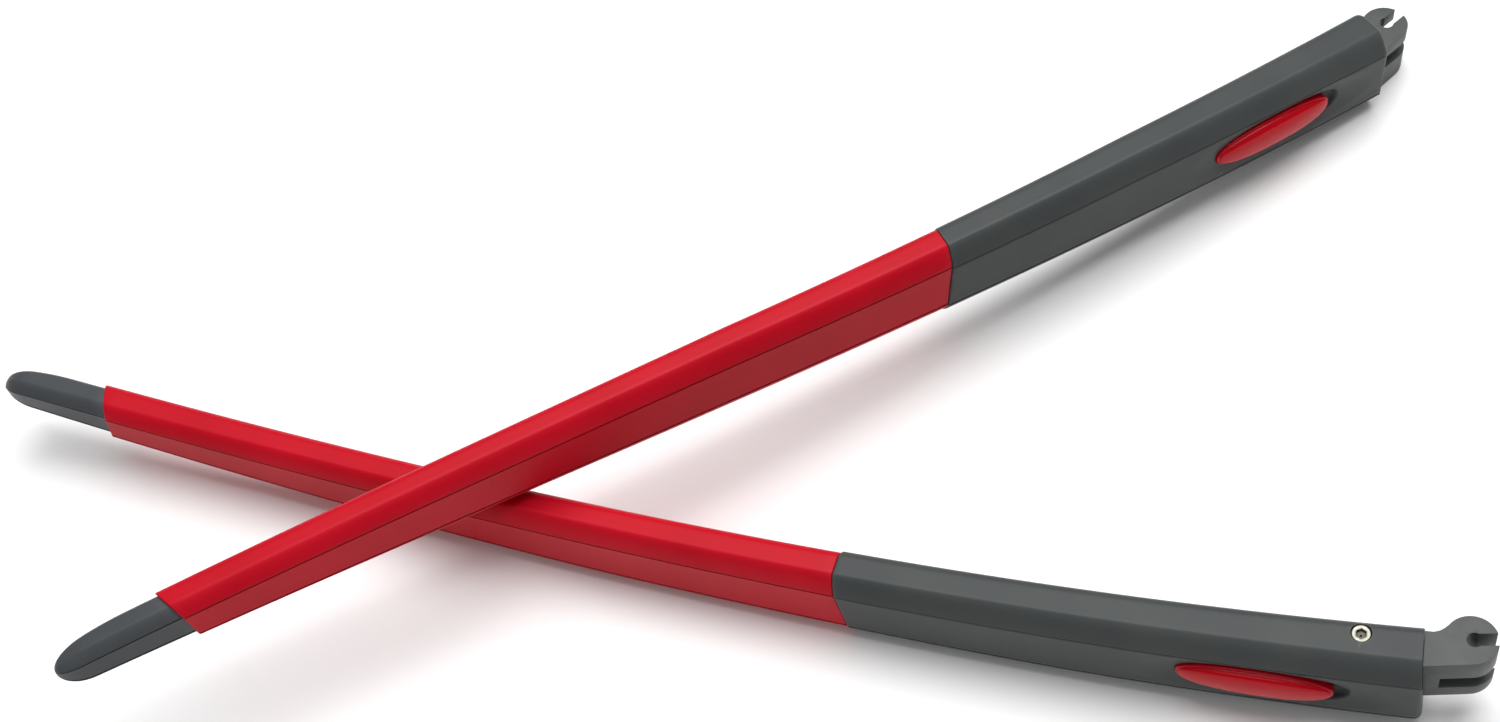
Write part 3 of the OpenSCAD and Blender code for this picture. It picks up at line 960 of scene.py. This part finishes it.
def make_wire_tree():
    tree, ins, outs = geometry_tree("core_wire", {**WIRE, **SIZES})
    size = {label: Field(tree, ins.outputs[label]) for label in SIZES}
    start = add(tree, "ShaderNodeCombineXYZ", [(0, ins.outputs["From"])])
    end = add(tree, "ShaderNodeCombineXYZ", [(0, ins.outputs["To"])])
    line = add(tree, "GeometryNodeCurvePrimitiveLine", [(0, start.outputs[0]), (1, end.outputs[0])])
    cut = add(tree, "GeometryNodeResampleCurve", [("Curve", line.outputs[0]), ("Count", 60)])
    here = tree.nodes.new("GeometryNodeInputPosition").outputs[0]
    at = add(tree, "ShaderNodeSeparateXYZ", [(0, here)])
    x = Field(tree, at.outputs[0])
    y, z = side(x, size), centre(x, x * 0, size)
    place = add(tree, "ShaderNodeCombineXYZ", [(0, x.socket), (1, y.socket), (2, z.socket)])
    bent = add(tree, "GeometryNodeSetPosition", [("Geometry", cut.outputs[0])])
    tree.links.new(place.outputs[0], bent.inputs["Position"])
    round_wire = add(tree, "GeometryNodeCurvePrimitiveCircle", [("Resolution", 20)])
    tree.links.new(ins.outputs["Wire"], round_wire.inputs["Radius"])
    swept = add(tree, "GeometryNodeCurveToMesh", [
        ("Curve", bent.outputs[0]), ("Profile Curve", round_wire.outputs[0]), ("Fill Caps", True),
    ])
    end_tree(tree, ins, outs, swept.outputs[0])
    return tree


WIRE_TREE = make_wire_tree()
for arm in SIDES:
    wire = run_tree(WIRE_TREE, bpy.data.meshes.new("seed"), SPRING_STEEL, {**WIRE, **SIZES})
    finish_piece(wire, arm, "core_wire", SPRING_STEEL, "arm", ARM[arm])

# %% [markdown]
# ## The table, the light and the camera
# Product pictures of small parts are taken on a white sweep under a broad soft light from above,
# so the upper faces are pale and the sides stay dark. The camera looks down steeply and is
# tilted a little to one side.


# %% The table
def pale_surface(name, colour, rough):
    material = bpy.data.materials.new(name)
    material.use_nodes = True
    tree = material.node_tree
    shader = tree.nodes["Principled BSDF"]
    place = add(tree, "ShaderNodeTexCoord").outputs["Object"]
    tone = add(tree, "ShaderNodeTexNoise", [("Vector", place), ("Scale", 6.0)])
    ramp = add(tree, "ShaderNodeMapRange", [
        ("Value", tone.outputs["Fac"]), ("To Min", colour - 0.01), ("To Max", colour + 0.01),
    ])
    tree.links.new(ramp.outputs["Result"], shader.inputs["Base Color"])
    shader.inputs["Roughness"].default_value = rough
    return material


bpy.ops.mesh.primitive_plane_add(size=4)
table = bpy.context.object
table.name = "table"
table.data.materials.append(pale_surface("table_white", 0.93, 0.7))

# %% The light
world = bpy.data.worlds.new("studio")
bpy.context.scene.world = world
world.use_nodes = True
sky = world.node_tree
direction = add(sky, "ShaderNodeTexCoord").outputs["Generated"]
toward = add(sky, "ShaderNodeSeparateXYZ", [(0, direction)])
glow = add(sky, "ShaderNodeMapRange", [
    ("Value", toward.outputs["Z"]), ("To Min", 0.03), ("To Max", 0.5),
])
sky.links.new(glow.outputs["Result"], sky.nodes["Background"].inputs["Strength"])
sky.nodes["Background"].inputs["Color"].default_value = (1, 1, 1, 1)


def soft_light(name, azimuth, elevation, distance, size, power):
    light = bpy.data.lights.new(name, "AREA")
    light.shape, light.size, light.energy = "DISK", size, power
    a, e = math.radians(azimuth), math.radians(elevation)
    back = Vector((math.sin(a) * math.cos(e), -math.cos(a) * math.cos(e), math.sin(e)))
    lamp = bpy.data.objects.new(name, light)
    lamp.location = back * distance
    lamp.rotation_euler = back.to_track_quat("Z", "Y").to_euler()
    bpy.context.scene.collection.objects.link(lamp)


soft_light("overhead", 150, 72, 0.7, 0.7, 6.2)
soft_light("front_fill", -20, 35, 0.8, 0.3, 0.25)
bpy.context.scene.view_settings.view_transform = "Standard"

# %% The camera
LOOK_AT = Vector((2.10 * MM, 9.28 * MM, -0.05 * MM))
CAMERA_DISTANCE, CAMERA_AZIMUTH, CAMERA_ELEVATION, CAMERA_ROLL = 213.2 * MM, 9.0, 55.27, 15.72
a, e = math.radians(CAMERA_AZIMUTH), math.radians(CAMERA_ELEVATION)
back = Vector((math.sin(a) * math.cos(e), -math.cos(a) * math.cos(e), math.sin(e)))
camera = bpy.data.objects.new("camera", bpy.data.cameras.new("camera"))
camera.data.lens = 57.8
camera.data.clip_start, camera.data.clip_end = 0.005, 20
camera.location = LOOK_AT + back * CAMERA_DISTANCE
camera.rotation_mode = "QUATERNION"
roll = Quaternion((0, 0, 1), -math.radians(CAMERA_ROLL))
camera.rotation_quaternion = back.to_track_quat("Z", "Y") @ roll
bpy.context.scene.collection.objects.link(camera)
bpy.context.scene.camera = camera
